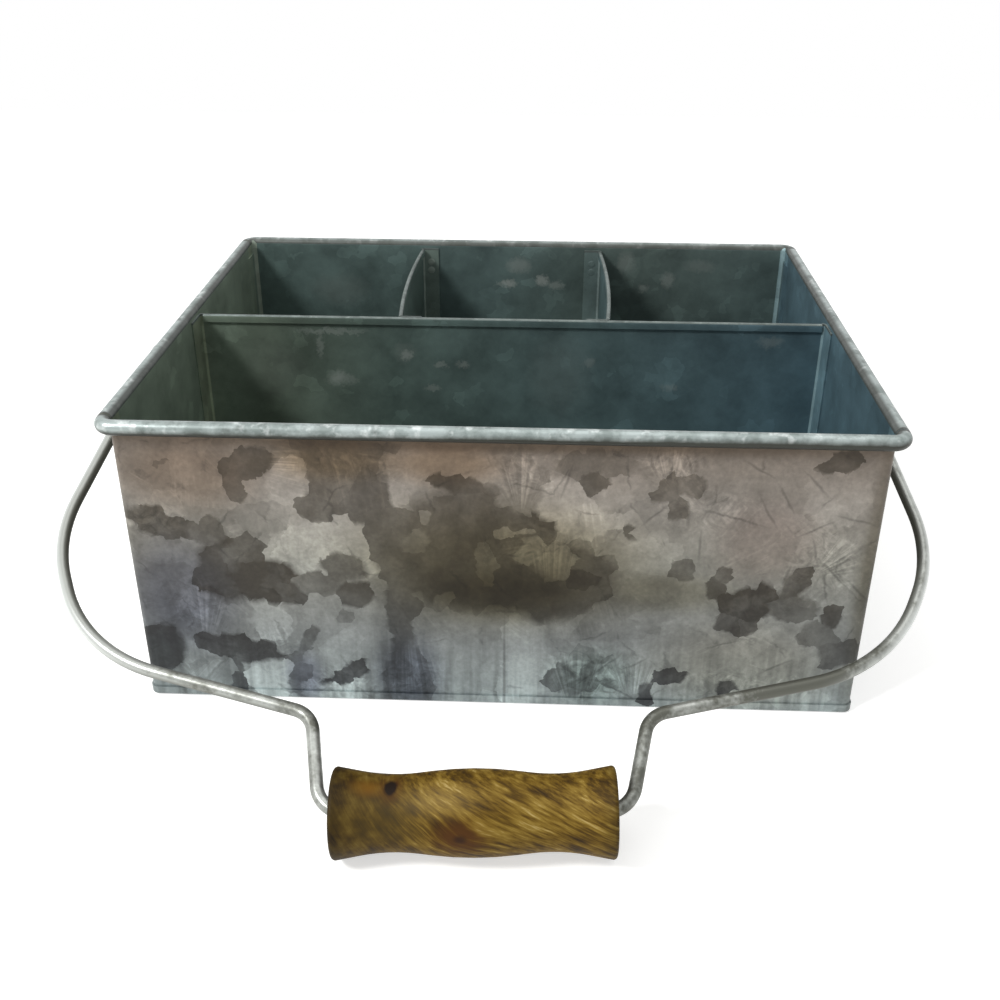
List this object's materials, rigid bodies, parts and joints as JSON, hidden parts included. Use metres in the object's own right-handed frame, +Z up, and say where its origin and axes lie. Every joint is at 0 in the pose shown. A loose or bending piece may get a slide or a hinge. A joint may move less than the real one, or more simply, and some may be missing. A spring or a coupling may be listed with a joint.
{
  "type": "utensil caddy",
  "caption": "Open rectangular caddy of galvanised sheet with a rolled rim, an upright divider and cross dividers for utensils, and a swinging wire bail with a turned wooden grip.",
  "frame": {"origin": "middle of the base's flat underside, on the surface that the caddy stands on", "axes": "+Z up, +X to the right along the front, the front with the wide compartment is -Y"},
  "size_m": [0.3301, 0.3182, 0.118],
  "materials": {
    "galvanised_sheet": "hot-dip zinc with a large mottled spangle, satin",
    "zinc_wire": "bright zinc-plated drawn wire",
    "turned_wood": "golden brown hardwood, lathe-turned, oiled"
  },
  "bodies": {
    "box": {"front_wall": "galvanised_sheet", "back_wall": "galvanised_sheet", "left_wall": "galvanised_sheet", "right_wall": "galvanised_sheet", "base_pan": "galvanised_sheet", "long_divider": "galvanised_sheet", "left_cross_divider": "galvanised_sheet", "right_cross_divider": "galvanised_sheet", "left_ear": "galvanised_sheet", "right_ear": "galvanised_sheet", "rim_wire": "zinc_wire"},
    "bail": {"bail_wire": "zinc_wire"},
    "grip": {"wood_grip": "turned_wood"}
  },
  "joints": [
    {"name": "bail_hinge", "type": "hinge", "parent": "box", "child": "bail", "pos_m": [0, 0, 0.101], "axis": [-1, 0, 0], "range_deg": [0, 229]},
    {"name": "grip_spin", "type": "hinge", "parent": "bail", "child": "grip", "pos_m": [-0.0043, -0.18706, 0.01568], "axis": [0.9994, 0.0324, 0.0148], "continuous": true}
  ]
}
